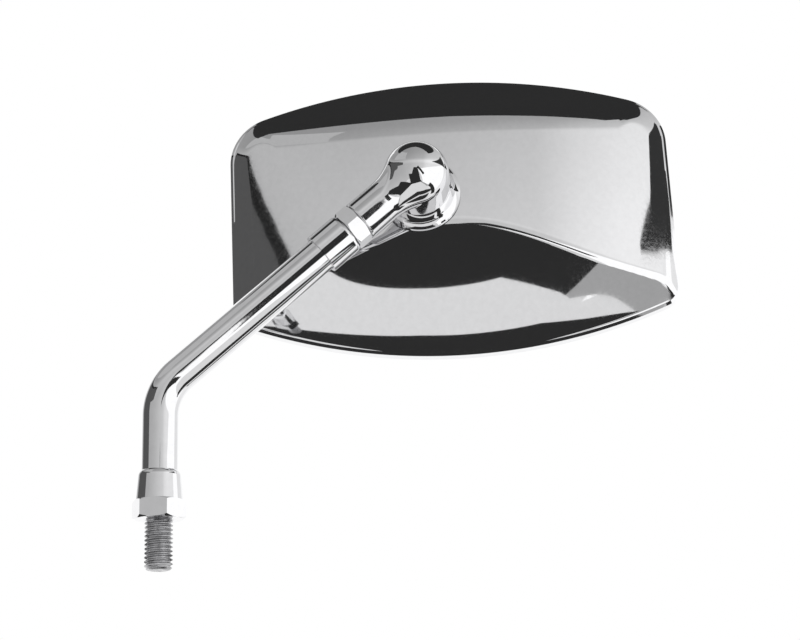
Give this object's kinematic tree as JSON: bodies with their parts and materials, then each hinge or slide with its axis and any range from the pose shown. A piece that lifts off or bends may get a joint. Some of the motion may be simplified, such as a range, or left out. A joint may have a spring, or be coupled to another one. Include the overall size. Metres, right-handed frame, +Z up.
{
  "type": "motorcycle mirror",
  "caption": "Chrome motorcycle mirror: bent stem on a threaded stud, elbow head with a sprung ball joint, and a wide faceted housing with convex glass.",
  "frame": {"origin": "on the stud's axis, at the seating face of the lock nut at the stem's foot", "axes": "+Z up the stud and the stem's upright, +X the way the stem leans, -Y out of the housing's back, +Y out of the glass"},
  "size_m": [0.2035, 0.0657, 0.1998],
  "materials": {
    "chrome": "bright plate over polished steel",
    "foam": "closed-cell foam sheet",
    "inner_steel": "plain turned steel",
    "mirror": "silvered convex glass",
    "nylon": "natural nylon",
    "rubber": "black moulded rubber"
  },
  "bodies": {
    "stem": {"stem": "chrome"},
    "stem_nut": {"stem_lock_nut": "chrome"},
    "head_nut": {"head_lock_nut": "chrome"},
    "head": {"swivel_head": "chrome", "seat_ring": "nylon", "clamp_bolt": "inner_steel"},
    "clamp": {"spring_seat": "nylon", "spring": "inner_steel", "bolt_washer": "inner_steel"},
    "pressure": {"pressure_cup": "inner_steel"},
    "mirror": {"pedestal": "chrome", "pedestal_gasket": "rubber", "housing": "chrome", "stiffener_plate": "inner_steel", "saddle_washer": "inner_steel", "ring_nut": "inner_steel", "mirror_glass": "mirror", "glass_seal": "rubber", "backing_pad": "foam"}
  },
  "joints": [
    {"name": "stem_nut_turn", "type": "hinge", "parent": "stem", "child": "stem_nut", "pos_m": [0, 0, 0], "axis": [0, 0, 1], "continuous": true},
    {"name": "head_nut_turn", "type": "hinge", "parent": "stem", "child": "head_nut", "pos_m": [0.09324, 0, 0.12652], "axis": [0.7593, 0, 0.6508], "continuous": true},
    {"name": "head_turn", "type": "hinge", "parent": "stem", "child": "head", "pos_m": [0.09324, 0, 0.12652], "axis": [0.7593, 0, 0.6508], "range_deg": [-180, 180]},
    {"name": "mirror_roll", "type": "hinge", "parent": "head", "child": "clamp", "pos_m": [0.09489, 0.01853, 0.12459], "axis": [-0.0883, -0.9907, 0.103], "continuous": true},
    {"name": "mirror_pan", "type": "hinge", "parent": "clamp", "child": "pressure", "pos_m": [0.09489, 0.01853, 0.12459], "axis": [-0.0274, 0.1058, 0.994], "range_deg": [-12, 12]},
    {"name": "mirror_tilt", "type": "hinge", "parent": "pressure", "child": "mirror", "pos_m": [0.09489, 0.01853, 0.12459], "axis": [0.9957, -0.085, 0.0364], "range_deg": [-12, 12]}
  ]
}
